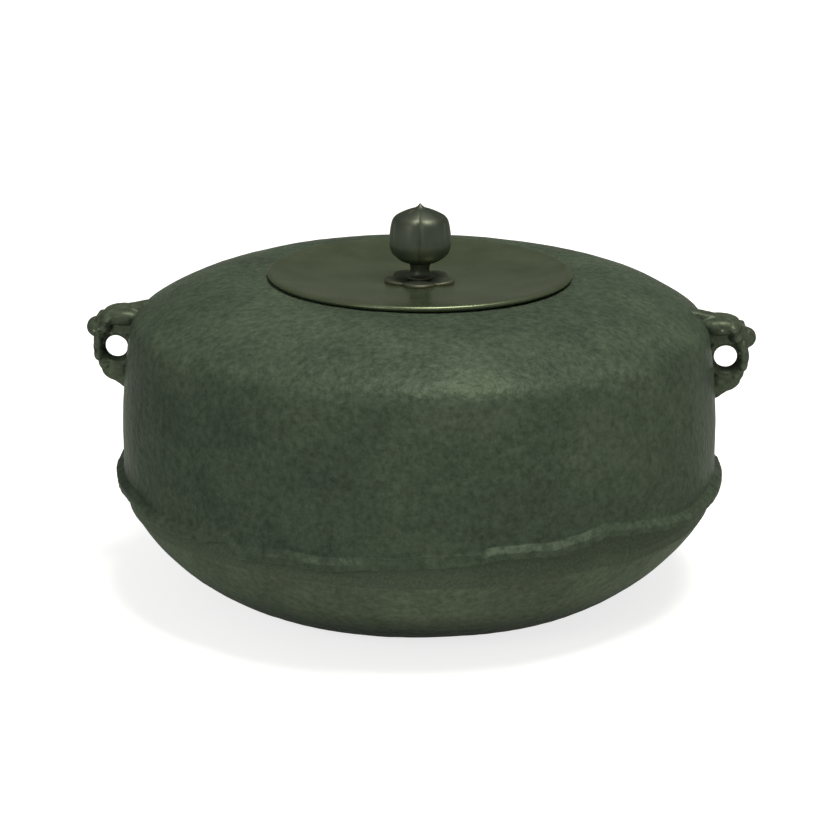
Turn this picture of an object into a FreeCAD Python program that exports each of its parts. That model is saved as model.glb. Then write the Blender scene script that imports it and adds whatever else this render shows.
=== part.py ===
# Wide low cast iron tea-ceremony kettle: luted bottom bowl, ring lugs, dished bronze lid with a bud knob.
# Millimetres, +Z up, origin on the base plane under the middle of the kettle, lugs on +X and -X, front on -Y.
import FreeCAD, Part
import math
import os
import Sketcher

doc = FreeCAD.newDocument("kettle")
sheet = doc.addObject("Spreadsheet::Sheet", "Sizes")


class Size:
    """A length or angle with its value and the sheet expression that gives it."""

    def __init__(self, value, text):
        self.value = value
        self.text = text

    def join(self, other, sign, value):
        text = other.text if isinstance(other, Size) else str(other)
        return Size(value, "(" + self.text + sign + text + ")")

    def __add__(self, other):
        return self.join(other, " + ", self.value + number(other))

    def __sub__(self, other):
        return self.join(other, " - ", self.value - number(other))

    def __mul__(self, other):
        return self.join(other, " * ", self.value * number(other))

    def __truediv__(self, other):
        return self.join(other, " / ", self.value / number(other))


def number(size):
    return size.value if isinstance(size, Size) else size


def sine(angle):
    return Size(math.sin(math.radians(angle.value)), "sin(" + angle.text + ")")


def cosine(angle):
    return Size(math.cos(math.radians(angle.value)), "cos(" + angle.text + ")")


def size(name, value):
    """Adds one driving dimension to the sheet and returns it."""
    row = str(size.row)
    size.row += 1
    sheet.set("A" + row, name)
    sheet.set("B" + row, str(value))
    sheet.setAlias("B" + row, name)
    return Size(value, "Sizes." + name)


size.row = 1

# Bottom bowl, with its rim set into the skirt of the shell
wall = size("wall_thickness", 3.5)
floor = size("floor_thickness", 4.0)
base_radius = size("base_flat_radius", 55.0)
base_run = size("base_rise_run", 31.0)
base_rise = size("base_rise", 3.0)
base_turn = size("base_turn", 11.0)
heel_run = size("heel_run", 11.0)
heel_rise = size("heel_rise", 4.2)
heel_turn = size("heel_turn", 19.0)
bowl_rise = size("bowl_rise", 34.3)
bowl_turn = size("bowl_turn", 27.0)
seam_inset = size("seam_inset", 2.0)
seam_lap = size("seam_lap", 16.0)
seam_gap = size("seam_gap", 0.8)

# Shell, from the broken flange up to the mouth
body_radius = size("body_radius", 133.4)
flange_lift = size("flange_lift", 4.0)
flange_edge = size("flange_edge_thickness", 3.6)
flange_root = size("flange_root_rise", 2.4)
flange_reach = size("flange_reach", 3.6)
break_depth = size("flange_break_depth", 2.4)
break_count = 43
skirt_run = size("skirt_run", 11.7)
wall_lean = size("wall_lean", 3.9)
wall_turn = size("wall_turn", 9.5)
bend_width = size("shoulder_bend_width", 5.5)
bend_drop = size("shoulder_bend_drop", 8.6)
bend_turn = size("shoulder_bend_turn", 48.0)
bend_slope = size("shoulder_bend_end_slope", 81.5)
dome_drop = size("dome_drop", 16.1)
dome_turn = size("dome_turn", 30.0)
dome_slope = size("dome_end_slope", 34.0)
crest_width = size("shoulder_crest_width", 17.5)
crest_drop = size("shoulder_crest_drop", 0.5)
mouth_radius = size("mouth_radius", 59.0)
mouth_height = size("mouth_height", 141.2)
lip_width = size("mouth_lip_width", 4.5)
lip_rise = size("mouth_lip_rise", 2.0)

# Ring lugs, placed from the ring hole
hole_reach = size("ring_hole_reach", 3.4)
hole_drop = size("ring_hole_drop", 10.3)
hole_radius = size("ring_hole_radius", 5.1)
hole_length = size("ring_hole_length", 6.0)
hole_flare = size("ring_hole_flare", 1.6)
hole_lip = size("ring_hole_lip", 3.2)
hole_rim = size("ring_hole_rim", 4.9)
web_width = size("cheek_web_width", 8.0)
cheek_width = size("cheek_width", 11.0)
chin_drop = size("chin_drop", 19.0)
root_depth = size("lug_root_depth", 5.4)
brow_run = size("brow_run", 24.0)
brow_rise = size("brow_rise", 22.0)
brow_tilt = size("brow_tilt", 12.0)
brow_depth = size("brow_depth", 6.0)
brow_width = size("brow_width", 22.0)
brow_corner = size("brow_corner", 7.0)
brow_round = size("brow_rounding", 2.4)
bridge_rise = size("nose_bridge_rise", 4.0)
nose_radius = size("nose_radius", 5.2)
nose_reach = size("nose_reach", 7.9)
nose_rise = size("nose_rise", 9.1)
eye_radius = size("eye_radius", 3.2)
eye_reach = size("eye_reach", 2.6)
eye_rise = size("eye_rise", 10.4)
eye_spread = size("eye_spread", 6.8)

# Dished lid
lid_overhang = size("lid_overhang", 4.5)
lid_edge = size("lid_edge_thickness", 2.3)
lid_edge_turn = size("lid_edge_turn", 165.0)
lid_rim = size("lid_rim_width", 1.4)
dish_depth = size("dish_depth", 5.0)
dish_turn = size("dish_turn", 11.0)
plate_gauge = size("lid_plate_thickness", 2.6)
seat_radius = size("knob_seat_radius", 17.0)
guide_depth = size("lid_guide_depth", 8.0)
guide_width = size("lid_guide_thickness", 2.0)
guide_gap = size("lid_guide_clearance", 1.1)

# Knob, rosette and washer
tenon_radius = size("tenon_radius", 3.0)
tenon_gap = size("tenon_clearance", 0.1)
knob_play = size("knob_end_play", 0.15)
rosette_thickness = size("rosette_thickness", 1.6)
rosette_core = size("rosette_core_radius", 9.0)
petal_reach = size("petal_centre_radius", 9.8)
petal_radius = size("petal_radius", 6.2)
petal_round = size("petal_rounding", 0.6)
petal_count = 5
petal_angle = -18
foot_radius = size("knob_foot_radius", 6.4)
foot_edge = size("knob_foot_edge", 0.4)
foot_rise = size("knob_foot_rise", 3.6)
foot_turn = size("knob_foot_turn", 80.0)
neck_radius = size("knob_neck_radius", 4.2)
neck_height = size("knob_neck_height", 8.0)
bud_radius = size("bud_radius", 13.7)
bud_low = size("bud_lower_height", 10.6)
bud_high = size("bud_upper_height", 13.0)
lobe_offset = size("lobe_offset", 2.6)
lobe_count = 5
lobe_angle = 18
tip_radius = size("bud_tip_radius", 3.6)
tip_rise = size("bud_tip_rise", 3.4)
tip_turn = size("bud_tip_turn", 40.0)
washer_radius = size("washer_radius", 9.0)
washer_thickness = size("washer_thickness", 1.5)
rivet_radius = size("rivet_head_radius", 4.6)
rivet_face = size("rivet_face_radius", 2.8)
rivet_height = size("rivet_head_height", 1.4)

# Sounding plates inside, each on a bed of lacquer
plate_count = 5
first_plate_angle = 90
plate_ring = size("sounding_plate_ring_radius", 32.0)
plate_length = size("sounding_plate_length", 26.0)
plate_width = size("sounding_plate_width", 17.0)
plate_thickness = size("sounding_plate_thickness", 2.2)
plate_corner = size("sounding_plate_corner", 4.0)
bed_thickness = size("lacquer_bed_thickness", 0.8)
bed_margin = size("lacquer_bed_margin", 1.0)

doc.recompute()

# Places that several pieces share, worked out from the sizes
nothing = Size(0.0, "0")
quarter_turn = Size(90.0, "90")
heel_radius = base_radius + base_run
bowl_foot_radius = heel_radius + heel_run
bowl_foot_height = base_rise + heel_rise
bowl_radius = body_radius - seam_inset
bowl_height = bowl_foot_height + bowl_rise
seam_top = bowl_height + seam_lap
skirt_radius = bowl_radius + seam_gap
ledge_height = seam_top + seam_gap
flange_under = bowl_height + flange_lift
flange_top = flange_under + flange_edge
flange_radius = body_radius + flange_reach
wall_height = ledge_height + skirt_run
bend_radius = body_radius - wall_lean
dome_radius = bend_radius - bend_width
lip_radius = mouth_radius + lip_width
crest_radius = lip_radius + crest_width
shoulder_height = mouth_height - lip_rise
crest_height = mouth_height - crest_drop
dome_height = mouth_height - dome_drop
bend_height = dome_height - bend_drop
hole_centre = body_radius + hole_reach
hole_height = bend_height - hole_drop
lug_root = dome_radius - root_depth
lid_top = mouth_height + lid_edge
seat_top = lid_top - dish_depth
seat_under = seat_top - plate_gauge
tenon_bore = tenon_radius + tenon_gap
foot_height = seat_top + rosette_thickness + knob_play
neck_top = foot_height + neck_height
bud_wide = neck_top + bud_low
bud_top = bud_wide + bud_high
washer_under = seat_under - knob_play - washer_thickness


def origin_plane(body, role):
    return [item for item in body.Origin.OriginFeatures if item.Role == role][0]


def new_body(label):
    body = doc.addObject("PartDesign::Body", label)
    body.Label = label
    return body


def new_sketch(body, name, role="XZ_Plane"):
    sketch = body.newObject("Sketcher::SketchObject", name)
    sketch.AttachmentSupport = [(origin_plane(body, role), "")]
    sketch.MapMode = "FlatFace"
    return sketch


def bind(sketch, constraint, text):
    index = sketch.addConstraint(constraint)
    sketch.setExpression("Constraints[%d]" % index, text)


def pin_point(sketch, edge, end, across, up):
    """Ties one end of an edge to its two sizes, measured from the sketch's origin."""
    for kind, axis, length in (("DistanceX", -2, across), ("DistanceY", -1, up)):
        if abs(length.value) < 1e-9:
            sketch.addConstraint(Sketcher.Constraint("PointOnObject", edge, end, axis))
        else:
            bind(sketch, Sketcher.Constraint(kind, -1, 1, edge, end, length.value), length.text)


def arc_between(first, last, turn):
    """Circular arc that leaves first, turns left by turn degrees (right if negative) and ends at last."""
    chord = last - first
    half = math.radians(abs(turn)) / 2
    radius = chord.Length / (2 * math.sin(half))
    left = FreeCAD.Vector(-chord.y, chord.x, 0).normalize()
    side = math.copysign(1.0, turn)
    centre = (first + last) * 0.5 + left * (side * radius * math.cos(half))
    begin, end = (first, last) if turn > 0 else (last, first)
    start_angle = math.atan2(begin.y - centre.y, begin.x - centre.x)
    circle = Part.Circle(centre, FreeCAD.Vector(0, 0, 1), radius)
    end_angle = math.atan2(end.y - centre.y, end.x - centre.x)
    if end_angle < start_angle:
        end_angle += 2 * math.pi
    return Part.ArcOfCircle(circle, start_angle, end_angle)


def outline(sketch, corners):
    """Closed outline of corners (across, up), with turn and side added where an arc leads to the next one."""
    places = [FreeCAD.Vector(corner[0].value, corner[1].value, 0) for corner in corners]
    ends = []
    for index, corner in enumerate(corners):
        first = places[index]
        last = places[(index + 1) % len(places)]
        if len(corner) == 2:
            edge = sketch.addGeometry(Part.LineSegment(first, last))
            ends.append((edge, 1, 2))
        else:
            edge = sketch.addGeometry(arc_between(first, last, corner[2].value * corner[3]))
            ends.append((edge, 1, 2) if corner[3] > 0 else (edge, 2, 1))
    for index, corner in enumerate(corners):
        edge, start, finish = ends[index]
        following = ends[(index + 1) % len(ends)]
        sketch.addConstraint(Sketcher.Constraint("Coincident", edge, finish, following[0], following[1]))
        pin_point(sketch, edge, start, corner[0], corner[1])
        if len(corner) == 4:
            after = corners[(index + 1) % len(corners)]
            across = (after[0] - corner[0]).text
            up = (after[1] - corner[1]).text
            radius = "sqrt(" + across + "^2 + " + up + "^2) / (2 * sin(" + corner[2].text + " / 2))"
            bind(sketch, Sketcher.Constraint("Radius", edge, sketch.Geometry[edge].Radius), radius)


def circle(sketch, across, up, radius):
    place = FreeCAD.Vector(across.value, up.value, 0)
    edge = sketch.addGeometry(Part.Circle(place, FreeCAD.Vector(0, 0, 1), radius.value))
    bind(sketch, Sketcher.Constraint("Radius", edge, radius.value), radius.text)
    pin_point(sketch, edge, 3, across, up)


def turned(body, name, corners, kind="PartDesign::Revolution"):
    """Turns an outline about the upright axis, as a solid or, for a groove, as a cut."""
    sketch = new_sketch(body, name + "_outline")
    outline(sketch, corners)
    feature = body.newObject(kind, name)
    feature.Profile = sketch
    feature.ReferenceAxis = (sketch, ["V_Axis"])
    feature.Angle = 360
    doc.recompute()
    return feature


def padded(body, name, sketch, length, kind="PartDesign::Pad", symmetric=False, upward=False, downward=False):
    """Pads a sketch or, for a pocket, cuts it: a pocket goes down and a pad up unless told otherwise."""
    feature = body.newObject(kind, name)
    feature.Profile = sketch
    feature.setExpression("Length", length.text)
    feature.Reversed = upward or downward
    if symmetric:
        feature.SideType = "Symmetric"
    doc.recompute()
    return feature


def rounded(body, name, base, radius, distance):
    """Fillets the edges of base whose ends all lie where distance is nought."""
    names = []
    for index, edge in enumerate(base.Shape.Edges):
        if all(abs(distance(vertex.Point)) < 1e-6 for vertex in edge.Vertexes):
            names.append("Edge%d" % (index + 1))
    fillet = body.newObject("PartDesign::Fillet", name)
    fillet.Base = (base, names)
    fillet.setExpression("Radius", radius.text)
    doc.recompute()


def repeated(body, name, feature, axis, count):
    pattern = body.newObject("PartDesign::PolarPattern", name)
    pattern.Originals = [feature]
    pattern.Axis = axis
    pattern.Angle = 360
    pattern.Occurrences = count
    body.Tip = pattern
    doc.recompute()
    return pattern


def ball(body, name, radius, across, along, up):
    """Ball with its poles on the line that runs out from the kettle."""
    sphere = body.newObject("PartDesign::AdditiveSphere", name)
    sphere.Placement.Rotation = FreeCAD.Rotation(FreeCAD.Vector(0, 1, 0), 90)
    sphere.setExpression("Radius", radius.text)
    place(sphere, across, along, up)
    doc.recompute()


def place(item, across, along, up):
    item.setExpression("Placement.Base.x", across.text)
    item.setExpression("Placement.Base.y", along.text)
    item.setExpression("Placement.Base.z", up.text)


def spin(body, degrees):
    body.Placement.Rotation = FreeCAD.Rotation(FreeCAD.Vector(0, 0, 1), degrees)


def shoulder_corners():
    """Outside of the kettle from the shoulder's crest to the straight wall, shared by shell and lugs."""
    return [
        (crest_radius, crest_height, dome_turn, -1),
        (dome_radius, dome_height, bend_turn, -1),
        (bend_radius, bend_height, wall_turn, -1),
        (body_radius, wall_height),
    ]


def inside_of(radius, height, slope):
    """Point of the inner wall behind a point of the outside, where the outside falls by slope."""
    return radius - wall * sine(slope), height - wall * cosine(slope)


def kettle_shell():
    body = new_body("kettle_shell")
    dome_inside = inside_of(dome_radius, dome_height, dome_slope)
    bend_inside = inside_of(bend_radius, bend_height, bend_slope)
    corners = [
        (mouth_radius, mouth_height),
        (lip_radius, mouth_height),
        (lip_radius, shoulder_height),
    ] + shoulder_corners() + [
        (body_radius, flange_top + flange_root),
        (flange_radius, flange_top),
        (flange_radius, flange_under),
        (skirt_radius, flange_under),
        (skirt_radius, ledge_height),
        (body_radius - wall, ledge_height),
        (body_radius - wall, wall_height, wall_turn, 1),
        (bend_inside[0], bend_inside[1], bend_turn, 1),
        (dome_inside[0], dome_inside[1], dome_turn, 1),
        (crest_radius, crest_height - wall),
        (mouth_radius, crest_height - wall),
    ]
    turned(body, "shell", corners)
    broken_flange(body)
    return body


def broken_flange(body):
    """Breaks the flange back to short uneven stretches, deep and shallow with no order."""
    sketch = new_sketch(body, "flange_breaks", "XY_Plane")
    circle(sketch, nothing, nothing, flange_radius + flange_reach)
    corners = []
    for index in range(break_count):
        angle = 2 * math.pi / break_count * (index + 0.3 * math.sin(2.4 * index))
        share = 0.5 + 0.5 * math.sin(1.9 * index * index + 0.7)
        reach = flange_radius - break_depth * round(share, 3)
        corners.append((reach * round(math.cos(angle), 5), reach * round(math.sin(angle), 5)))
    outline(sketch, corners)
    sketch.setExpression("AttachmentOffset.Base.z", flange_under.text)
    padded(body, "breaks", sketch, flange_edge + flange_root, kind="PartDesign::Pocket", upward=True)


def kettle_bottom():
    body = new_body("kettle_bottom")
    rim = bowl_radius - wall
    foot_inside = bowl_foot_radius - wall * sine(bowl_turn)
    heel_inside = heel_radius - floor * sine(base_turn)
    corners = [
        (nothing, nothing),
        (base_radius, nothing, base_turn, 1),
        (heel_radius, base_rise, heel_turn, 1),
        (bowl_foot_radius, bowl_foot_height, bowl_turn, 1),
        (bowl_radius, bowl_height),
        (bowl_radius, seam_top),
        (rim, seam_top),
        (rim, bowl_height + wall * sine(bowl_turn), bowl_turn, -1),
        (foot_inside, bowl_foot_height + wall * cosine(bowl_turn), heel_turn, -1),
        (heel_inside, base_rise + floor * cosine(base_turn), base_turn, -1),
        (base_radius, floor),
        (nothing, floor),
    ]
    turned(body, "bowl", corners)
    return body


def seam_lute():
    """Sealing ring between the bowl's rim and the skirt, with a sloped bead below and a cap over the rim."""
    body = new_body("seam_lute")
    cap = body_radius - wall
    turned(body, "lute", [
        (bowl_radius, bowl_height),
        (skirt_radius, flange_under),
        (skirt_radius, ledge_height),
        (cap, ledge_height),
        (cap, seam_top),
        (bowl_radius, seam_top),
    ])
    return body


def ring_lug(label, degrees):
    """Mask-shaped lug: web with a lipped ring hole, brow, nose and eyes, cut to the kettle's outside."""
    body = new_body(label)
    front = hole_centre + hole_radius + hole_rim
    chin = hole_height - chin_drop
    brow_height = hole_height + brow_rise
    brow_core = brow_height - brow_depth / 2
    sketch = new_sketch(body, "web_outline")
    outline(sketch, [
        (lug_root, chin),
        (body_radius, chin, upright_turn(front - body_radius, chin_drop), 1),
        (front, hole_height),
        (front, hole_height + bridge_rise),
        (lug_root + brow_run / 2, brow_core - brow_run / 2 * sine(brow_tilt)),
        (lug_root, brow_core),
    ])
    padded(body, "web", sketch, web_width, symmetric=True)
    sketch = new_sketch(body, "lip_outline")
    circle(sketch, hole_centre, hole_height, hole_radius + hole_lip)
    padded(body, "lip", sketch, cheek_width, symmetric=True)

    sketch = new_sketch(body, "brow_outline", "XY_Plane")
    sketch.AttachmentOffset.Rotation = FreeCAD.Rotation(FreeCAD.Vector(0, 1, 0), brow_tilt.value)
    sketch.setExpression("AttachmentOffset.Rotation.Angle", brow_tilt.text)
    sketch.setExpression("AttachmentOffset.Base.x", lug_root.text)
    sketch.setExpression("AttachmentOffset.Base.z", brow_height.text)
    side = brow_width / 2
    outline(sketch, [
        (nothing, nothing - side),
        (brow_run - brow_corner, nothing - side, quarter_turn, 1),
        (brow_run, brow_corner - side),
        (brow_run, side - brow_corner, quarter_turn, 1),
        (brow_run - brow_corner, side),
        (nothing, side),
    ])
    brow = padded(body, "brow", sketch, brow_depth, downward=True)
    top = sketch.Placement
    rounded(body, "brow_edge", brow, brow_round, lambda point: top.inverse().multVec(point).z)

    ball(body, "nose", nose_radius, hole_centre + nose_reach, nothing, hole_height + nose_rise)
    for name, way in (("front_eye", -1), ("back_eye", 1)):
        ball(body, name, eye_radius, hole_centre + eye_reach, eye_spread * way, hole_height + eye_rise)

    sketch = new_sketch(body, "ring_hole_outline")
    circle(sketch, hole_centre, hole_height, hole_radius)
    padded(body, "ring_hole", sketch, brow_width, symmetric=True, kind="PartDesign::Pocket")
    for name, way in (("front_flare", -1), ("back_flare", 1)):
        flare = body.newObject("PartDesign::SubtractiveCone", name)
        flare.Placement.Rotation = FreeCAD.Rotation(FreeCAD.Vector(1, 0, 0), -90 * way)
        place(flare, hole_centre, hole_length / 2 * way, hole_height)
        flare.setExpression("Radius1", hole_radius.text)
        flare.setExpression("Radius2", (hole_radius + hole_flare).text)
        flare.setExpression("Height", (cheek_width / 2 - hole_length / 2).text)
    doc.recompute()
    turned(body, "wall_seat", shoulder_corners() + [(crest_radius, wall_height)], kind="PartDesign::Groove")
    spin(body, degrees)
    return body


def lid_plate():
    """Dished lid with a round edge, a flat seat for the knob and a ring that centres it in the mouth."""
    body = new_body("lid_plate")
    guide = mouth_radius - guide_gap
    guide_inside = guide - guide_width
    edge_middle = lip_radius + lid_overhang - lid_edge / 2
    turned(body, "plate", [
        (tenon_bore, seat_under),
        (seat_radius, seat_under, dish_turn, 1),
        (guide_inside, mouth_height - guide_width),
        (guide_inside, mouth_height - guide_depth),
        (guide, mouth_height - guide_depth),
        (guide, mouth_height),
        (edge_middle, mouth_height, lid_edge_turn, 1),
        (edge_middle, lid_top),
        (edge_middle - lid_rim, lid_top, dish_turn, -1),
        (seat_radius, seat_top),
        (tenon_bore, seat_top),
    ])
    return body


def knob_rosette():
    body = new_body("knob_rosette")
    sketch = new_sketch(body, "core_outline", "XY_Plane")
    circle(sketch, nothing, nothing, rosette_core)
    padded(body, "core", sketch, rosette_thickness)
    sketch = new_sketch(body, "petal_outline", "XY_Plane")
    circle(sketch, petal_reach, nothing, petal_radius)
    petal = padded(body, "petal", sketch, rosette_thickness)
    petals = repeated(body, "petals", petal, (sketch, ["N_Axis"]), petal_count)
    top = rosette_thickness.value
    rounded(body, "petal_edge", petals, petal_round, lambda point: point.z - top)
    sketch = new_sketch(body, "bore_outline", "XY_Plane")
    circle(sketch, nothing, nothing, tenon_bore)
    padded(body, "bore", sketch, rosette_thickness, kind="PartDesign::Pocket", upward=True)
    spin(body, petal_angle)
    place(body, nothing, nothing, seat_top)
    return body


def lid_knob():
    """Five-lobed bud on a flared neck, with a tenon through the lid, riveted over the washer."""
    body = new_body("lid_knob")
    turned(body, "stem", [
        (nothing, washer_under - rivet_height),
        (rivet_face, washer_under - rivet_height),
        (rivet_radius, washer_under),
        (tenon_radius, washer_under),
        (tenon_radius, foot_height),
        (foot_radius, foot_height),
        (foot_radius, foot_height + foot_edge, foot_turn, -1),
        (neck_radius, foot_height + foot_rise),
        (neck_radius, bud_wide),
        (tip_radius, bud_wide),
        (tip_radius, bud_top - foot_edge, tip_turn, -1),
        (nothing, bud_top + tip_rise),
    ])
    lobe_radius = bud_radius - lobe_offset
    sketch = new_sketch(body, "lobe_outline")
    outline(sketch, [
        (lobe_offset, neck_top, upright_turn(lobe_radius, bud_low), 1),
        (bud_radius, bud_wide, upright_turn(lobe_radius, bud_high), 1),
        (lobe_offset, bud_top),
    ])
    foot = FreeCAD.Vector(lobe_offset.value, neck_top.value, 0)
    line = sketch.addGeometry(Part.LineSegment(foot, foot + FreeCAD.Vector(0, bud_low.value, 0)), True)
    sketch.addConstraint(Sketcher.Constraint("Vertical", line))
    pin_point(sketch, line, 1, lobe_offset, neck_top)
    lobe = body.newObject("PartDesign::Revolution", "lobe")
    lobe.Profile = sketch
    lobe.ReferenceAxis = (sketch, ["Axis0"])
    lobe.Angle = 360
    doc.recompute()
    repeated(body, "lobes", lobe, (sketch, ["V_Axis"]), lobe_count)
    spin(body, lobe_angle)
    return body


def upright_turn(across, up):
    """Turn of an arc that is upright at one end and moves across and up on its way."""
    value = 2 * math.degrees(math.atan(across.value / up.value))
    return Size(value, "(2 * atan(" + across.text + " / " + up.text + "))")


def knob_back_washer():
    body = new_body("knob_back_washer")
    sketch = new_sketch(body, "washer_outline", "XY_Plane")
    circle(sketch, nothing, nothing, washer_radius)
    circle(sketch, nothing, nothing, tenon_radius)
    padded(body, "washer", sketch, washer_thickness)
    place(body, nothing, nothing, washer_under)
    return body


def slab(label, margin, thickness, height, degrees):
    """Flat slab with round corners, on the ring of sounding plates, its outline drawn in by margin."""
    body = new_body(label)
    sketch = new_sketch(body, "slab_outline", "XY_Plane")
    inner = plate_ring - plate_width / 2 + margin
    outer = plate_ring + plate_width / 2 - margin
    side = plate_length / 2 - margin
    outline(sketch, [
        (inner + plate_corner, nothing - side),
        (outer - plate_corner, nothing - side, quarter_turn, 1),
        (outer, plate_corner - side),
        (outer, side - plate_corner, quarter_turn, 1),
        (outer - plate_corner, side),
        (inner + plate_corner, side, quarter_turn, 1),
        (inner, side - plate_corner),
        (inner, plate_corner - side, quarter_turn, 1),
    ])
    padded(body, "slab", sketch, thickness)
    spin(body, degrees)
    place(body, nothing, nothing, height)
    return body


parts = [kettle_shell(), kettle_bottom(), seam_lute(), ring_lug("lug_right", 0), ring_lug("lug_left", 180)]
parts += [lid_plate(), knob_rosette(), lid_knob(), knob_back_washer()]
bed_top = floor + bed_thickness
for index in range(plate_count):
    degrees = first_plate_angle + 360 / plate_count * index
    parts.append(slab("sounding_plate_bed_%d" % (index + 1), bed_margin, bed_thickness, floor, degrees))
    parts.append(slab("sounding_plate_%d" % (index + 1), nothing, plate_thickness, bed_top, degrees))
doc.recompute()

for item in doc.Objects:
    if "Invalid" in item.State or "Error" in item.State:
        raise RuntimeError(item.Name + " failed: " + str(item.State))
for part in parts:
    shape = part.Shape
    if shape.isNull() or not shape.isValid() or len(shape.Solids) != 1:
        raise RuntimeError(part.Label + " is not one valid solid")
os.makedirs("parts", exist_ok=True)
for part in parts:
    part.Shape.exportStep("parts/" + part.Label + ".step")
    print(part.Label, round(part.Shape.Volume, 1))
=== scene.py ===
import math

import bmesh
import bpy
from mathutils import Matrix, Vector, noise


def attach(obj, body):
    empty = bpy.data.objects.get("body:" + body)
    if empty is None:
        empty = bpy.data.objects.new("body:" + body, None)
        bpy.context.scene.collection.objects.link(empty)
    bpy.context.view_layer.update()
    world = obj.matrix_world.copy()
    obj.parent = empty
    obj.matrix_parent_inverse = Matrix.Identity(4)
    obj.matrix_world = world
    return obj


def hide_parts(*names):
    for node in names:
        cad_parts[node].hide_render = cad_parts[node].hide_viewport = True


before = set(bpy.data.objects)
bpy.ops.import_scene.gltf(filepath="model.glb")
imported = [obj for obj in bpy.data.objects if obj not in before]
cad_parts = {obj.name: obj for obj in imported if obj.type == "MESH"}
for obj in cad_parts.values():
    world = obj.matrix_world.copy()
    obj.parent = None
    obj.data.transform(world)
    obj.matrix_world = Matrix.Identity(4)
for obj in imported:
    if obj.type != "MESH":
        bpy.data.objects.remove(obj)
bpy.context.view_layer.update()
mm = 0.001
weldGap = 0.01 * mm                       # points closer than this become one
print("frame loaded:", sorted(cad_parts))


# small tools that several pieces use

def toLinear(hexColour):
    channels = [int(hexColour[i:i + 2], 16) / 255 for i in (1, 3, 5)]
    return [c / 12.92 if c <= 0.04045 else ((c + 0.055) / 1.055) ** 2.4 for c in channels] + [1.0]


def perMm(size):
    return 1 / (size * mm)                # texture scale whose features are this many millimetres


def addNode(tree, kind, settings=None, links=None):
    node = tree.nodes.new(kind)
    for key, value in (settings or {}).items():
        if key == "stops":                # places and colours of a ramp, which starts with two
            for spare in value[2:]:
                node.color_ramp.elements.new(0.5)
            for element, (place, colour) in zip(node.color_ramp.elements, value):
                element.position = place
                element.color = toLinear(colour)
        elif isinstance(key, int) or key in node.inputs:
            node.inputs[key].default_value = value
        else:
            setattr(node, key, value)
    for key, source in (links or {}).items():
        tree.links.new(source, node.inputs[key])
    return node


def newMaterial(name):
    material = bpy.data.materials.new(name)
    material.use_nodes = True
    material.node_tree.nodes.clear()
    return material, material.node_tree


def drawStrokes(bm, start, strokes):
    # each stroke is radius, height, left turn in degrees (0 is a straight run) and its number of steps
    tail = bm.verts.new((start[0] * mm, 0, start[1] * mm))
    for radius, height, turn, steps in strokes:
        chord = Vector((radius * mm, 0, height * mm)) - tail.co
        if turn:
            left = Vector((-chord.z, 0, chord.x))
            centre = tail.co + chord / 2 + left / (2 * math.tan(math.radians(turn) / 2))
            swing = Matrix.Rotation(-math.radians(turn) / steps, 3, "Y")
        for step in range(steps):
            tail = bmesh.ops.extrude_vert_indiv(bm, verts=[tail])["verts"][0]
            if turn:
                bmesh.ops.rotate(bm, cent=centre, matrix=swing, verts=[tail])
            else:
                bmesh.ops.translate(bm, vec=chord / steps, verts=[tail])


def turnOnAxis(bm, around):
    bmesh.ops.spin(bm, geom=bm.verts[:] + bm.edges[:], cent=(0, 0, 0), axis=(0, 0, 1),
                   angle=2 * math.pi, steps=around, use_merge=True)
    bmesh.ops.remove_doubles(bm, verts=bm.verts, dist=weldGap)
    bmesh.ops.recalc_face_normals(bm, faces=bm.faces)


def castSkin(bm, waves):
    # waves lists the width and the height, in millimetres, of each size of unevenness
    bm.normal_update()
    moves = []
    for vert in bm.verts:
        rise = sum(noise.noise(vert.co * perMm(width)) * height for width, height in waves)
        moves.append(vert.normal * rise * mm)
    for vert, move in zip(bm.verts, moves):
        vert.co += move


def finishPiece(name, bm, materials, body, slotName, *nodes):
    mesh = bpy.data.meshes.new(name)
    bm.to_mesh(mesh)
    bm.free()
    for material in materials:
        mesh.materials.append(material)
    mesh.shade_smooth()
    piece = bpy.data.objects.new(name, mesh)
    bpy.context.scene.collection.objects.link(piece)
    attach(piece, body)
    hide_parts(*nodes)
    print("made", name, len(mesh.polygons), "faces")


def dressNode(name, material):
    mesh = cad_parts[name].data
    mesh.materials.clear()
    mesh.materials.append(material)


# cast iron

ironSkin = {
    # widths in mm: real grains and pits are under 1 mm, and are drawn coarser so that they show
    "patina": 38, "speckle": 3.0, "grain": 4.2, "pit": 2.6,
    "toneStops": (0.3, 0.5, 0.72), "speckleShades": ((0.25, "#b4b8b4"), (0.75, "#ffffff")),
    "ridgeFrom": 0.515, "ridgeTo": 0.6, "ridgeShare": 0.75,      # Pointiness of a blunt and a sharp ridge
    "bottomDarkness": 0.22, "glossSpread": 0.12, "pitStrength": 0.6, "pitShare": 0.35,
    "sheen": 0.01, "sheenTint": "#8a8f84",
}


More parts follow.
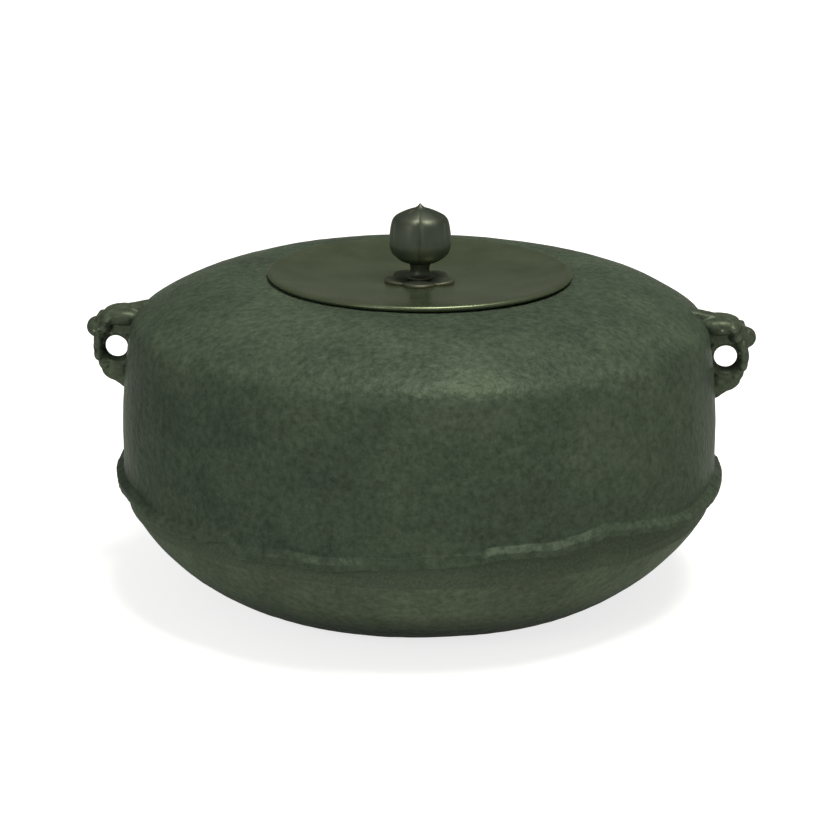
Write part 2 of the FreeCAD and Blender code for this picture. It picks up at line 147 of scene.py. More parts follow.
def sandCastIron(name, tones, ridgeTone, roughness, metal, grainHeight, darkerBelow=None):
    # grey iron poured in a loam mould, then baked with lacquer: a dark matt olive skin, grainy and pitted,
    # in cloudy patches of tone, paler on what stands out, partly as wear and partly as a painted highlight
    material, tree = newMaterial(name)
    place = addNode(tree, "ShaderNodeTexCoord").outputs["Object"]
    patina = addNode(tree, "ShaderNodeTexNoise",
                     {"Scale": perMm(ironSkin["patina"]), "Detail": 5, "Roughness": 0.6},
                     {"Vector": place})
    speckle = addNode(tree, "ShaderNodeTexNoise",
                      {"Scale": perMm(ironSkin["speckle"]), "Detail": 3, "Roughness": 0.7},
                      {"Vector": place})
    grain = addNode(tree, "ShaderNodeTexNoise",
                    {"Scale": perMm(ironSkin["grain"]), "Detail": 3, "Roughness": 0.58},
                    {"Vector": place})
    pits = addNode(tree, "ShaderNodeTexVoronoi",
                   {"Scale": perMm(ironSkin["pit"]), "Randomness": 1.0}, {"Vector": place})
    tone = addNode(tree, "ShaderNodeValToRGB", {"stops": list(zip(ironSkin["toneStops"], tones))},
                   {"Fac": patina.outputs["Fac"]})
    shade = addNode(tree, "ShaderNodeValToRGB", {"stops": ironSkin["speckleShades"]},
                    {"Fac": speckle.outputs["Fac"]})
    # on a colour Mix, socket 0 is the share, 6 and 7 are the two colours and 2 is the result
    colour = addNode(tree, "ShaderNodeMix", {"data_type": "RGBA", "blend_type": "MULTIPLY", 0: 1.0},
                     {6: tone.outputs["Color"], 7: shade.outputs["Color"]})
    ridge = addNode(tree, "ShaderNodeNewGeometry").outputs["Pointiness"]
    ridgeMask = addNode(tree, "ShaderNodeMapRange",
                     {"From Min": ironSkin["ridgeFrom"], "From Max": ironSkin["ridgeTo"],
                      "To Max": ironSkin["ridgeShare"]}, {"Value": ridge})
    # the pale tone on what stands out is partly wear and partly a painted highlight
    colour = addNode(tree, "ShaderNodeMix", {"data_type": "RGBA", 7: toLinear(ridgeTone)},
                     {0: ridgeMask.outputs["Result"], 6: colour.outputs[2]})
    if darkerBelow:                              # darker below one height, at full tone above the other
        height = addNode(tree, "ShaderNodeSeparateXYZ", links={"Vector": place}).outputs["Z"]
        darkening = addNode(tree, "ShaderNodeMapRange",
                        {"From Min": darkerBelow[0] * mm, "From Max": darkerBelow[1] * mm,
                         "To Min": ironSkin["bottomDarkness"], "To Max": 1.0}, {"Value": height})
        colour = addNode(tree, "ShaderNodeMix", {"data_type": "RGBA", "blend_type": "MULTIPLY", 0: 1.0},
                         {6: colour.outputs[2], 7: darkening.outputs["Result"]})
    gloss = addNode(tree, "ShaderNodeMapRange",
                    {"To Min": roughness - ironSkin["glossSpread"],
                     "To Max": roughness + ironSkin["glossSpread"]},
                    {"Value": speckle.outputs["Fac"]})
    skin = addNode(tree, "ShaderNodeBump", {"Strength": 1.0, "Distance": grainHeight * mm},
                   {"Height": grain.outputs["Fac"]})
    pitted = addNode(tree, "ShaderNodeBump",
                     {"Strength": ironSkin["pitStrength"],
                      "Distance": ironSkin["pitShare"] * grainHeight * mm},
                     {"Height": pits.outputs["Distance"], "Normal": skin.outputs["Normal"]})
    iron = addNode(tree, "ShaderNodeBsdfPrincipled",
                   {"Metallic": metal, "Specular IOR Level": ironSkin["sheen"],
                    "Specular Tint": toLinear(ironSkin["sheenTint"])},
                   {"Base Color": colour.outputs[2], "Roughness": gloss.outputs["Result"],
                    "Normal": pitted.outputs["Normal"]})
    addNode(tree, "ShaderNodeOutputMaterial", links={"Surface": iron.outputs["BSDF"]})
    return material


# bronze

bronzeFilm = {
    "stain": 24, "fine": 1.6, "fineHeight": 0.05,      # in mm
    "toneStops": (0.3, 0.52, 0.74),
    "ridgeFrom": 0.505, "ridgeTo": 0.56, "rubbedDull": 0.28,      # Pointiness, as on the iron
    "glossier": 0.06, "duller": 0.1, "metal": 0.8, "sheen": 0.1, "sheenTint": "#c6c8ba",
}


def patinatedBronze(name, tones, ridgeTone, roughness):
    # cast bronze, turned smooth and stained with a copper brew: a thin olive film over the metal, with
    # cloudy stains, glossy enough to mirror what stands near and rubbed dull on its ridges
    material, tree = newMaterial(name)
    place = addNode(tree, "ShaderNodeTexCoord").outputs["Object"]
    stain = addNode(tree, "ShaderNodeTexNoise",
                    {"Scale": perMm(bronzeFilm["stain"]), "Detail": 6, "Roughness": 0.62},
                    {"Vector": place})
    fine = addNode(tree, "ShaderNodeTexNoise",
                   {"Scale": perMm(bronzeFilm["fine"]), "Detail": 3, "Roughness": 0.6},
                   {"Vector": place})
    tone = addNode(tree, "ShaderNodeValToRGB", {"stops": list(zip(bronzeFilm["toneStops"], tones))},
                   {"Fac": stain.outputs["Fac"]})
    ridge = addNode(tree, "ShaderNodeNewGeometry").outputs["Pointiness"]
    ridgeMask = addNode(tree, "ShaderNodeMapRange",
                     {"From Min": bronzeFilm["ridgeFrom"], "From Max": bronzeFilm["ridgeTo"]},
                     {"Value": ridge})
    colour = addNode(tree, "ShaderNodeMix", {"data_type": "RGBA", 7: toLinear(ridgeTone)},
                     {0: ridgeMask.outputs["Result"], 6: tone.outputs["Color"]})
    gloss = addNode(tree, "ShaderNodeMapRange",
                    {"To Min": roughness - bronzeFilm["glossier"],
                     "To Max": roughness + bronzeFilm["duller"]},
                    {"Value": stain.outputs["Fac"]})
    dulled = addNode(tree, "ShaderNodeMath", {"operation": "MULTIPLY_ADD", 1: bronzeFilm["rubbedDull"]},
                     {0: ridgeMask.outputs["Result"], 2: gloss.outputs["Result"]})
    skin = addNode(tree, "ShaderNodeBump", {"Strength": 0.25, "Distance": bronzeFilm["fineHeight"] * mm},
                   {"Height": fine.outputs["Fac"]})
    bronze = addNode(tree, "ShaderNodeBsdfPrincipled",
                     {"Metallic": bronzeFilm["metal"], "Specular IOR Level": bronzeFilm["sheen"],
                      "Specular Tint": toLinear(bronzeFilm["sheenTint"])},
                     {"Base Color": colour.outputs[2], "Roughness": dulled.outputs[0],
                      "Normal": skin.outputs["Normal"]})
    addNode(tree, "ShaderNodeOutputMaterial", links={"Surface": bronze.outputs["BSDF"]})
    return material


# lute

lutePaste = {
    "grit": 1.2, "gritHeight": 0.2,       # in mm: the filings are drawn coarser so that they show
    "toneStops": (0.35, 0.55, 0.7), "roughness": 0.7, "sheen": 0.02,
}


def filledLacquer(name, tones):
    # raw lacquer kneaded with iron filings and trowelled in: coloured like the iron, matt and gritty; its
    # tones are lightened as painted light against the shade under the hem
    material, tree = newMaterial(name)
    place = addNode(tree, "ShaderNodeTexCoord").outputs["Object"]
    grit = addNode(tree, "ShaderNodeTexNoise",
                   {"Scale": perMm(lutePaste["grit"]), "Detail": 4, "Roughness": 0.7}, {"Vector": place})
    tone = addNode(tree, "ShaderNodeValToRGB", {"stops": list(zip(lutePaste["toneStops"], tones))},
                   {"Fac": grit.outputs["Fac"]})
    skin = addNode(tree, "ShaderNodeBump", {"Strength": 0.6, "Distance": lutePaste["gritHeight"] * mm},
                   {"Height": grit.outputs["Fac"]})
    lacquer = addNode(tree, "ShaderNodeBsdfPrincipled",
                      {"Roughness": lutePaste["roughness"], "Specular IOR Level": lutePaste["sheen"]},
                      {"Base Color": tone.outputs["Color"], "Normal": skin.outputs["Normal"]})
    addNode(tree, "ShaderNodeOutputMaterial", links={"Surface": lacquer.outputs["BSDF"]})
    return material


# on the shell the pale ridge tone is also a painted highlight: the light line along the broken flange's
# ledge
shellIron = sandCastIron("castIronLoamMoulded", ("#485347", "#505d4e", "#5b6756"), ridgeTone="#646c5c",
                         roughness=0.44, metal=0.15, grainHeight=0.75)
# the bowl's tones are lighter than the shell's: painted light on the bowl, which faces down; it also turns
# darker towards the bottom
bowlIron = sandCastIron("castIronBowlDarkerBelow", ("#576253", "#616e5c", "#6b7764"), ridgeTone="#747c6a",
                        roughness=0.6, metal=0.1, grainHeight=0.75, darkerBelow=(5, 25))
# on the lugs the pale ridge tone is a painted highlight on the brow roll as well as wear
lugIron = sandCastIron("castIronWaxCast", ("#4b5648", "#555f50", "#606a58"), ridgeTone="#969b87",
                       roughness=0.4, metal=0.3, grainHeight=0.35)
scaledIron = sandCastIron("castIronRustyInside", ("#3d2c20", "#5c4230", "#7c684f"), ridgeTone="#8a7760",
                          roughness=0.8, metal=0.0, grainHeight=0.8)
lidBronze = patinatedBronze("bronzeTurnedPatinated", ("#5d6a52", "#69765e", "#747f68"), ridgeTone="#62674f",
                            roughness=0.22)
knobBronze = patinatedBronze("bronzeCastPatinated", ("#474f48", "#535a4f", "#616452"), ridgeTone="#6c6c57",
                             roughness=0.44)
# tones lighter than the dark lacquer: painted light against the shade under the hem
luteLacquer = filledLacquer("lacquerIronFilled", ("#485346", "#525e4f", "#5d6858"))
print("materials ready")


# shell: mouth, shoulder, wall and the broken flange

shell = {
    "mouth": (59.0, 141.2), "lip": (63.5, 140.75), "crest": (81.0, 140.7),
    "dome": (124.0, 125.1), "domeTurn": -30, "bend": (129.5, 116.5), "bendTurn": -48,
    "wall": (133.4, 70.0), "wallTurn": -9.5,
    "flangeReach": 137.0, "flangeTop": 49.1, "flangeRoot": 51.5, "flangeUnder": 45.5, "flangeCut": 46.4,
    "skirt": (132.2, 58.3), "thickness": 3.5,
    "liftFade": 74.0,                               # the hem's lift has faded out at this height
    "bendDrop": 0.5, "domeLean": (0.57, 0.83),      # where the inside lies at the bend and the dome's edge
    "edgeSharp": 35, "edgeRound": 0.7, "edgeSteps": 2,
    "skirtNear": 0.5, "wallNear": 0.6, "flangePast": 0.2, "innerNear": 1.0,      # slack around each face
    "lookDown": -0.2,                               # tilt of a face that looks down into the kettle
    "around": 560,
    "waves": ((70, 0.5), (17, 0.16), (6, 0.12)),
    # what is left of the flange: angle (0 is the front, right is plus), share of its reach, lift in mm
    "hem": ((-180, 0.8, 4.5), (-152, 0.9, 5.0), (-150, 0.5, 8.0), (-124, 0.55, 7.0), (-121, 0.9, 4.5),
            (-90, 1.0, 4.5), (-65, 1.0, 5.8), (-55, 0.9, 3.2), (-48, 0.85, 3.4), (-39, 0.7, 5.0),
            (-33, 0.5, 8.0), (-32, 0.75, 2.2), (-21, 0.8, 3.5), (-15, 0.75, 2.4), (-7, 0.6, 3.5),
            (-6, 0.06, 3.5), (13, 0.06, 6.0), (14, 0.8, 8.0), (29, 0.75, 7.6), (38, 0.55, 11.0),
            (48, 0.7, 7.0), (61, 0.9, 3.0), (75, 1.0, 4.5), (112, 0.95, 5.0), (118, 0.55, 8.0),
            (146, 0.6, 7.0), (149, 0.9, 4.0), (180, 0.8, 4.5)),
    "chips": ((0.22, 0.2, 0.6), (0.6, 0.12, 0.5)),  # waves in a degree, bite into the reach, lift in mm
    "biteSeed": 0.1, "liftSeed": 7.3, "leastShare": 0.04,
}


def hemLeft(angle):
    # share of the flange's reach and lift at this angle, along the hem's line and roughened by chips
    for (begin, share, lift), (end, nextShare, nextLift) in zip(shell["hem"], shell["hem"][1:]):
        if angle <= end:
            break
    along = (angle - begin) / (end - begin)
    share += (nextShare - share) * along
    lift += (nextLift - lift) * along
    turn = math.radians(angle)
    for often, bite, rise in shell["chips"]:
        # on a circle of this size a degree is as long as that many waves
        spot = Vector((math.sin(turn), math.cos(turn), shell["biteSeed"])) * math.degrees(often)
        share += bite * noise.noise(spot) * min(1, share * 2)
        lift += rise * noise.noise(spot + Vector((0, 0, shell["liftSeed"])))
    return min(1, max(shell["leastShare"], share)), lift


def breakFlange(bm):
    s = shell
    body = s["wall"][0]
    for vert in bm.verts:
        across = Vector((vert.co.x, vert.co.y)).length / mm
        height = vert.co.z / mm
        if height > s["liftFade"] or across < s["skirt"][0] - s["skirtNear"]:
            continue
        share, lift = hemLeft(math.degrees(math.atan2(vert.co.x, -vert.co.y)))
        if across > body - s["wallNear"]:
            ease = min(1, (s["liftFade"] - height) / (s["liftFade"] - s["flangeRoot"]))
        else:                             # the skirt's own inner wall rises with the hem
            ease = max(0, (s["skirt"][1] - height) / (s["skirt"][1] - s["flangeUnder"]))
        if across > body + s["flangePast"]:
            kept = (body + (across - body) * share) / across
            vert.co.x *= kept
            vert.co.y *= kept
        vert.co.z += lift * ease * mm


def makeShell():
    s = shell
    thick = s["thickness"]
    inner = s["wall"][0] - thick
    ceiling = s["crest"][1] - thick
    leanIn, leanDown = s["domeLean"]
    bm = bmesh.new()
    drawStrokes(bm, (s["mouth"][0], ceiling), [
        (s["mouth"][0], s["mouth"][1], 0, 2),
        (s["lip"][0], s["mouth"][1], 0, 2),
        (s["lip"][0], s["lip"][1], 0, 1),
        (s["crest"][0], s["crest"][1], 0, 9),
        (s["dome"][0], s["dome"][1], s["domeTurn"], 26),
        (s["bend"][0], s["bend"][1], s["bendTurn"], 9),
        (s["wall"][0], s["wall"][1], s["wallTurn"], 26),
        (s["wall"][0], s["flangeRoot"], 0, 11),
        (s["flangeReach"], s["flangeTop"], 0, 3),
        (s["flangeReach"], s["flangeCut"], 0, 3),
        (s["skirt"][0], s["flangeUnder"], 0, 3),
        (s["skirt"][0], s["skirt"][1], 0, 4),
        (inner, s["skirt"][1], 0, 1),
        (inner, s["wall"][1], 0, 4),
        (s["bend"][0] - thick, s["bend"][1] - s["bendDrop"], -s["wallTurn"], 10),
        (s["dome"][0] - leanIn * thick, s["dome"][1] - leanDown * thick, -s["bendTurn"], 6),
        (s["crest"][0], ceiling, -s["domeTurn"], 14),
        (s["mouth"][0], ceiling, 0, 6),
    ])
    turnOnAxis(bm, s["around"])
    edges = [edge for edge in bm.edges if edge.calc_face_angle(0) > math.radians(s["edgeSharp"])]
    bmesh.ops.bevel(bm, geom=edges, offset=s["edgeRound"] * mm, affect="EDGES", segments=s["edgeSteps"],
                    profile=0.5, material=-1, clamp_overlap=True)
    for face in bm.faces:                 # the inside is rusty, the outside is not
        middle = face.calc_center_median() / mm
        across = Vector((middle.x, middle.y)).length
        looksIn = face.normal.x * middle.x + face.normal.y * middle.y < 0
        underDome = face.normal.z < s["lookDown"] and middle.z > s["wall"][1]
        innerWall = looksIn and s["crest"][0] < across < inner + s["innerNear"] and middle.z < ceiling
        if underDome or innerWall:
            face.material_index = 1
    breakFlange(bm)
    castSkin(bm, s["waves"])
    finishPiece("shell_cast", bm, [shellIron, scaledIron], "kettle", "shell_iron", "kettle_shell")


makeShell()


# bottom bowl

bowl = {
    "base": 55.0, "heel": (86.0, 3.0), "foot": (97.0, 7.2), "rim": (131.4, 41.5), "top": 57.5,
    "turns": (11, 19, 31), "thickness": 3.5, "floor": 4.0,
    "heelInside": (0.8, 3.9), "footInside": (1.6, 3.1), "rimInside": 1.6,      # how far in, and how far up
    "lookUp": 0.5, "lookIn": -0.1,                  # a face that looks up or in more than this is inside
    "around": 400,
    "waves": ((60, 0.5), (15, 0.2), (5.0, 0.1)),
}


def makeBowl():
    b = bowl
    base, heel, foot, rim = b["base"], b["heel"], b["foot"], b["rim"]
    heelTurn, footTurn, rimTurn = b["turns"]
    inside = rim[0] - b["thickness"]
    bm = bmesh.new()
    drawStrokes(bm, (0, 0), [
        (base, 0, 0, 16),
        (heel[0], heel[1], heelTurn, 14),
        (foot[0], foot[1], footTurn, 7),
        (rim[0], rim[1], rimTurn, 26),
        (rim[0], b["top"], 0, 4),
        (inside, b["top"], 0, 2),
        (inside, rim[1] + b["rimInside"], 0, 5),
        (foot[0] - b["footInside"][0], foot[1] + b["footInside"][1], -rimTurn, 14),
        (heel[0] - b["heelInside"][0], heel[1] + b["heelInside"][1], -footTurn, 4),
        (base, b["floor"], -heelTurn, 8),
        (0, b["floor"], 0, 10),
    ])
    turnOnAxis(bm, b["around"])
    for face in bm.faces:                 # rusty inside, as the shell is
        middle = face.calc_center_median() / mm
        away = face.normal.x * middle.x + face.normal.y * middle.y
        if away < b["lookIn"] or face.normal.z > b["lookUp"]:
            face.material_index = 1
    castSkin(bm, b["waves"])
    lowest = min(vert.co.z for vert in bm.verts)
    for vert in bm.verts:                 # it still stands on the base plane
        vert.co.z = max(vert.co.z, 0)
    print("bowl's skin dips", round(lowest / mm, 2), "mm before it is stood flat")
    finishPiece("bottom_cast", bm, [bowlIron, scaledIron], "kettle", "bottom_iron", "kettle_bottom")


makeBowl()


# mask lugs, modelled on the right and turned round for the left

lug = {
    "hole": (136.8, 106.2), "ringMiddle": 7.85, "ringSection": (2.75, 4.6),
    "sectionSteps": 28, "ringSteps": 56, "lumpDetail": 3, "blockSteps": 4,
    "voxel": 0.45, "rubbings": 9, "rubShare": 0.5,
    "waves": ((7, 0.14), (2.5, 0.07)),
    # round lumps: x, y, z, three half widths and a forward tilt; off the middle, made on both sides
    "lumps": {
        "noseTip": (144.9, 0, 115.0, 5.2, 4.8, 5.0, 0),
        "noseWing": (143.4, 3.8, 112.4, 3.2, 2.6, 2.4, 0),
        "noseBridge": (140.6, 0, 119.0, 4.4, 3.2, 3.4, 0),
        "eyeBall": (140.8, 5.9, 116.4, 2.9, 3.0, 2.7, 0),
        "browSide": (133.5, 5.4, 121.0, 9.5, 4.6, 3.8, 0),
        "browRoll": (139.0, 5.0, 120.4, 3.6, 5.4, 2.7, 12),
        "cheek": (144.2, 4.4, 109.5, 2.4, 2.6, 4.2, 0),
        "lip": (144.4, 3.6, 103.4, 2.3, 2.4, 3.4, 0),
        "jawTop": (143.4, 0, 101.7, 2.9, 4.4, 2.9, 0),
        "jaw": (141.5, 0, 98.7, 3.8, 5.0, 3.8, 0),
        "chinPoint": (135.6, 0, 95.6, 8.4, 4.8, 5.8, 0),
        "chinUnder": (133.6, 0, 92.6, 5.4, 4.2, 4.4, 0),
        "chinRoot": (131.6, 0, 92.0, 5.4, 4.2, 5.6, 0),
    },
    # blocks: middle x and z, length, width, height, forward tilt and rounding
    "blocks": {
        "browTop": (130.2, 122.6, 25.0, 9.0, 6.4, 12, 2.4),
        "webTop": (136.0, 117.4, 18.0, 9.4, 9.4, 0, 1.2),
        "webRoot": (126.4, 107.0, 9.8, 8.0, 36.0, 0, 1.5),
    },
}


def addLump(bm, x, y, z, wide, deep, high, tilt):
    for side in ((1, -1) if y else (1,)):
        place = Matrix.Translation(Vector((x, y * side, z)) * mm)
        lean = Matrix.Rotation(math.radians(tilt), 4, "Y")
        bmesh.ops.create_icosphere(bm, subdivisions=lug["lumpDetail"], radius=mm,
                                   matrix=place @ lean @ Matrix.Diagonal((wide, deep, high, 1)))


def addBlock(bm, x, z, length, width, height, tilt, rounding):
    verts = bmesh.ops.create_cube(bm, size=1.0)["verts"]
    bmesh.ops.scale(bm, vec=Vector((length, width, height)) * mm, verts=verts)
    edges = list({edge for vert in verts for edge in vert.link_edges})
    bevelled = bmesh.ops.bevel(bm, geom=edges, offset=rounding * mm, affect="EDGES",
                               segments=lug["blockSteps"], profile=0.5, material=-1)
    verts = {vert for face in bevelled["faces"] for vert in face.verts} | {v for v in verts if v.is_valid}
    place = Matrix.Translation(Vector((x, 0, z)) * mm) @ Matrix.Rotation(math.radians(tilt), 4, "Y")
    bmesh.ops.transform(bm, matrix=place, verts=list(verts))


def makeLug(name, degrees, node):
    bm = bmesh.new()
    holeX, holeZ = lug["hole"]
    ring = Matrix.Translation(Vector((holeX + lug["ringMiddle"], 0, holeZ)) * mm)
    section = Matrix.Diagonal((*lug["ringSection"], 1, 1))
    circle = bmesh.ops.create_circle(bm, segments=lug["sectionSteps"], radius=mm, matrix=ring @ section)
    edges = list({edge for vert in circle["verts"] for edge in vert.link_edges})
    bmesh.ops.spin(bm, geom=circle["verts"] + edges, cent=Vector((holeX, 0, holeZ)) * mm, axis=(0, 1, 0),
                   angle=2 * math.pi, steps=lug["ringSteps"], use_merge=True)
    for lump in lug["lumps"].values():
        addLump(bm, *lump)
    for block in lug["blocks"].values():
        addBlock(bm, *block)
    bmesh.ops.remove_doubles(bm, verts=bm.verts, dist=weldGap)
    bmesh.ops.recalc_face_normals(bm, faces=bm.faces)

    # one skin over all the lumps, rubbed down as wax would be
    mesh = bpy.data.meshes.new(name + "_lumps")
    bm.to_mesh(mesh)
    bm.free()
    lumps = bpy.data.objects.new(name + "_lumps", mesh)
    bpy.context.scene.collection.objects.link(lumps)
    remesh = lumps.modifiers.new("oneSkin", "REMESH")
    remesh.mode = "VOXEL"
    remesh.voxel_size = lug["voxel"] * mm
    rub = lumps.modifiers.new("rub", "SMOOTH")
    rub.iterations = lug["rubbings"]
    rub.factor = lug["rubShare"]
    skin = bpy.data.meshes.new_from_object(lumps.evaluated_get(bpy.context.evaluated_depsgraph_get()))
    bpy.data.objects.remove(lumps)
    bpy.data.meshes.remove(mesh)
    bm = bmesh.new()
    bm.from_mesh(skin)
    bpy.data.meshes.remove(skin)
    castSkin(bm, lug["waves"])
    bmesh.ops.rotate(bm, cent=(0, 0, 0), verts=bm.verts,
                     matrix=Matrix.Rotation(math.radians(degrees), 3, "Z"))
    finishPiece(name, bm, [lugIron], "kettle", "lug_iron", node)


makeLug("mask_right", 0, "lug_right")
makeLug("mask_left", 180, "lug_left")


# dished lid with a rolled rim and a guide ring below

lid = {
    "bore": 3.1, "seat": (17.0, 138.5), "gauge": 2.6, "dishTurn": 11, "dishDrop": 2.0,
    "rim": (65.45, 143.5), "edgeRadius": 66.85, "edgeHeight": 2.3, "edgeTurn": 165,
    "bead": (64.3, 143.05), "beadTurn": 20,
    "guideOut": 57.9, "guideIn": 55.9, "guideLow": 133.2, "under": 141.2,
    "around": 256,
    "waves": ((45, 0.12),),
}


def makeLid():
    d = lid
    seatRadius, seatTop = d["seat"]
    bm = bmesh.new()
    drawStrokes(bm, (d["bore"], seatTop), [
        (d["bore"], seatTop - d["gauge"], 0, 1),
        (seatRadius, seatTop - d["gauge"], 0, 4),
        (d["guideIn"], d["under"] - d["dishDrop"], d["dishTurn"], 12),
        (d["guideIn"], d["guideLow"], 0, 3),
        (d["guideOut"], d["guideLow"], 0, 2),
        (d["guideOut"], d["under"], 0, 4),
        (d["edgeRadius"], d["under"], 0, 4),
        (d["edgeRadius"], d["under"] + d["edgeHeight"], d["edgeTurn"], 10),
        (d["rim"][0], d["rim"][1], 0, 1),
        (d["bead"][0], d["bead"][1], d["beadTurn"], 3),
        (seatRadius, seatTop, -d["dishTurn"], 26),
        (d["bore"], seatTop, 0, 6),
    ])
    turnOnAxis(bm, d["around"])
    castSkin(bm, d["waves"])
    finishPiece("lid_dished", bm, [lidBronze], "lid", "lid_bronze", "lid_plate")


makeLid()


# five-petal rosette under the knob

rosette = {
    "bore": 3.1, "low": 138.5, "thickness": 1.6, "tip": 16.0, "notch": 12.2,
    "edgeIn": 0.6, "edgeDown": 0.5, "edgeTurn": 60,                 # the rounded top edge
    "petals": 5, "front": 90, "petalPower": 2.2, "dome": 0.7,
    "crease": 0.5, "creasePower": 6, "carvedFrom": 0.3, "around": 240,
}


def makeRosette():
    r = rosette
    top = r["low"] + r["thickness"]
    bm = bmesh.new()
    drawStrokes(bm, (r["bore"], r["low"]), [
        (r["tip"], r["low"], 0, 6),
        (r["tip"], top - r["edgeDown"], 0, 1),
        (r["tip"] - r["edgeIn"], top, r["edgeTurn"], 4),
        (r["bore"], top, 0, 16),
        (r["bore"], r["low"], 0, 1),
    ])
    turnOnAxis(bm, r["around"])
    for vert in bm.verts:
        across = Vector((vert.co.x, vert.co.y)).length
        angle = math.degrees(math.atan2(vert.co.y, vert.co.x)) + r["front"]
        swing = abs(math.sin(math.radians(angle) * r["petals"] / 2))   # 0 on a petal's middle, 1 between
        fullness = math.sqrt(max(0, 1 - swing ** r["petalPower"]))
        outer = r["notch"] + (r["tip"] - r["notch"]) * fullness
        share = (across / mm - r["bore"]) / (r["tip"] - r["bore"])
        reach = (r["bore"] + share * (outer - r["bore"])) * mm
        vert.co.x *= reach / across
        vert.co.y *= reach / across
        if vert.co.z > (r["low"] + r["carvedFrom"]) * mm:
            bulge = r["dome"] * math.sin(math.pi * min(1, share)) * (1 - swing)
            crease = r["crease"] * swing ** r["creasePower"] * min(1, share * 2)
            vert.co.z += (bulge - crease) * mm
    finishPiece("rosette_petals", bm, [knobBronze], "lid", "rosette_bronze", "knob_rosette")


makeRosette()


# plum-bud knob on its flared neck

knob = {
    "rivetFace": (2.8, 132.85), "rivetHead": (4.6, 134.25), "rivetTurn": 40, "tenon": 3.0,
    "foot": (6.4, 140.25), "footEdge": 0.5,
    # strokes of the outline above the foot: radius, height, left turn in degrees and steps
    "neck": (4.2, 143.85, -75, 8), "bud": (5.0, 147.0, -24, 5), "belly": (12.6, 151.0, 44, 10),
    "wide": (13.9, 156.8, 34, 10), "shoulder": (12.8, 165.3, 15, 10), "crown": (10.2, 168.4, 44, 8),
    "nipple": (2.6, 171.6, 14, 8), "tip": (0, 173.9, -34, 8),
    "lobes": 5, "creaseDepth": 0.13, "creaseWidth": 9.0, "creaseStart": 0.08, "around": 240,
}


def makeKnob():
    k = knob
    faceRadius, faceHeight = k["rivetFace"]
    headRadius, headHeight = k["rivetHead"]
    footRadius, footHeight = k["foot"]
    bm = bmesh.new()
    drawStrokes(bm, (0, faceHeight), [
        (faceRadius, faceHeight, 0, 3),
        (headRadius, headHeight, k["rivetTurn"], 5),
        (k["tenon"], headHeight, 0, 1),
        (k["tenon"], footHeight, 0, 4),
        (footRadius, footHeight, 0, 2),
        (footRadius, footHeight + k["footEdge"], 0, 1),
        k["neck"], k["bud"], k["belly"], k["wide"], k["shoulder"], k["crown"], k["nipple"], k["tip"],
    ])
    turnOnAxis(bm, k["around"])
    low, high = k["bud"][1] * mm, k["nipple"][1] * mm
    for vert in bm.verts:
        if vert.co.z < low:
            continue
        angle = math.atan2(vert.co.x, -vert.co.y)                # 0 is the front, where a crease lies
        away = abs(math.degrees((angle * k["lobes"] + math.pi) % (2 * math.pi) - math.pi)) / k["lobes"]
        rise = min(1, (vert.co.z - low) / (high - low))
        grown = min(1, rise * (1 - k["creaseStart"]) + k["creaseStart"])
        bite = math.sqrt(math.sin(math.pi * grown))
        pinch = 1 - k["creaseDepth"] * bite * math.exp(-away / k["creaseWidth"])
        vert.co.x *= pinch
        vert.co.y *= pinch
    finishPiece("knob_bud", bm, [knobBronze], "knob", "knob_bronze", "lid_knob")


makeKnob()


# pieces that keep their CAD shape

dressNode("knob_back_washer", knobBronze)
dressNode("seam_lute", luteLacquer)
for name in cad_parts:
    if name.startswith("sounding_plate_bed_"):
        dressNode(name, luteLacquer)
    elif name.startswith("sounding_plate_"):
        dressNode(name, scaledIron)
print("inner pieces dressed")


# floor, light and camera

studio = {
    "floorHalf": 9.0, "floorColour": "#cfcfcc", "floorGlow": 0.77, "glowColour": "#ffffff",
    "keySize": 0.8, "keyPlace": (0.35, -0.35, 1.9), "keyPower": 37, "keyColour": "#fff8ee",
    "fillSize": 0.5, "fillPlace": (-0.85, -1.4, 0.85), "fillPower": 3.8, "fillColour": "#ffffff",
    "lampAim": (0, 0, 0.08), "worldColour": "#ffffff", "worldStrength": 0.25,
    "cameraAway": 1.080, "cameraHeight": 0.4008, "cameraTurn": 2.6, "cameraPitch": 16.85,
    "cameraRoll": 0.3, "cameraYaw": -0.02, "lens": 106.8, "sensor": 36,
}


def seenByEye(tree):
    # 1 for rays that reach the eye straight, in a mirror or through glass, 0 for light on the object
    path = addNode(tree, "ShaderNodeLightPath")
    straight = addNode(tree, "ShaderNodeMath", {"operation": "MAXIMUM"},
                       {0: path.outputs["Is Camera Ray"], 1: path.outputs["Is Glossy Ray"]})
    return addNode(tree, "ShaderNodeMath", {"operation": "MAXIMUM"},
                   {0: straight.outputs[0], 1: path.outputs["Is Transmission Ray"]}).outputs[0]


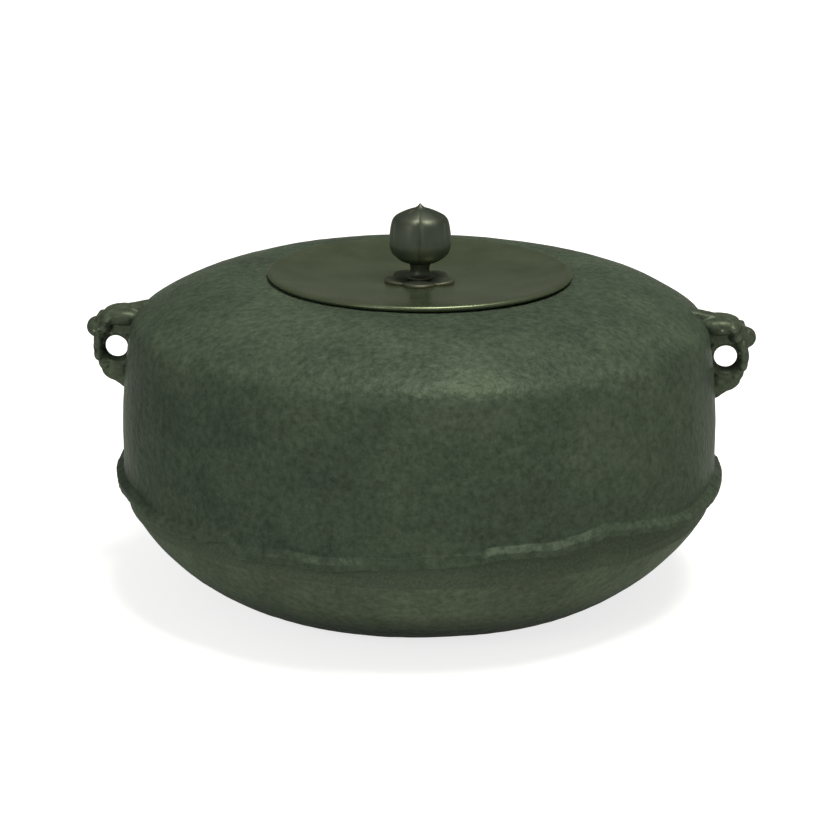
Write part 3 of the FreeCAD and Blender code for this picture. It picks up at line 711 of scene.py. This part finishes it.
def makeFloor():
    bm = bmesh.new()
    bmesh.ops.create_grid(bm, x_segments=1, y_segments=1, size=studio["floorHalf"])
    mesh = bpy.data.meshes.new("floor")
    bm.to_mesh(mesh)
    bm.free()
    floor = bpy.data.objects.new("floor", mesh)
    bpy.context.scene.collection.objects.link(floor)
    material, tree = newMaterial("paperFloor")      # matt white paper, which glows only to the eye
    paper = addNode(tree, "ShaderNodeBsdfDiffuse", {"Color": toLinear(studio["floorColour"])})
    glow = addNode(tree, "ShaderNodeMath", {"operation": "MULTIPLY", 1: studio["floorGlow"]},
                   {0: seenByEye(tree)})
    light = addNode(tree, "ShaderNodeEmission", {"Color": toLinear(studio["glowColour"])},
                    {"Strength": glow.outputs[0]})
    both = addNode(tree, "ShaderNodeAddShader", links={0: paper.outputs[0], 1: light.outputs[0]})
    addNode(tree, "ShaderNodeOutputMaterial", links={"Surface": both.outputs[0]})
    mesh.materials.append(material)


def makeLamp(name):
    place = Vector(studio[name + "Place"])
    data = bpy.data.lights.new(name, "AREA")
    data.size = studio[name + "Size"]
    data.energy = studio[name + "Power"]
    data.color = toLinear(studio[name + "Colour"])[:3]
    lamp = bpy.data.objects.new(name, data)
    lamp.location = place
    lamp.rotation_euler = (Vector(studio["lampAim"]) - place).to_track_quat("-Z", "Y").to_euler()
    bpy.context.scene.collection.objects.link(lamp)


def makeWorld():
    world = bpy.data.worlds.new("studio")
    world.use_nodes = True
    tree = world.node_tree
    tree.nodes.clear()
    sky = addNode(tree, "ShaderNodeBackground",
                  {"Color": toLinear(studio["worldColour"]), "Strength": studio["worldStrength"]})
    addNode(tree, "ShaderNodeOutputWorld", links={"Surface": sky.outputs[0]})
    bpy.context.scene.world = world


def makeCamera():
    s = studio
    turn = math.radians(s["cameraTurn"])
    data = bpy.data.cameras.new("camera")
    data.lens = s["lens"]
    data.sensor_width = s["sensor"]
    camera = bpy.data.objects.new("camera", data)
    away = s["cameraAway"]
    camera.location = (away * math.sin(turn), -away * math.cos(turn), s["cameraHeight"])
    look = Matrix.Rotation(turn + math.radians(s["cameraYaw"]), 3, "Z")
    tilt = Matrix.Rotation(math.radians(90 - s["cameraPitch"]), 3, "X")
    roll = Matrix.Rotation(math.radians(s["cameraRoll"]), 3, "Z")
    camera.rotation_euler = (look @ tilt @ roll).to_euler()
    bpy.context.scene.collection.objects.link(camera)
    bpy.context.scene.camera = camera


makeFloor()
makeLamp("key")
makeLamp("fill")
makeWorld()
makeCamera()
bpy.context.scene.view_settings.view_transform = "Standard"
print("studio ready")
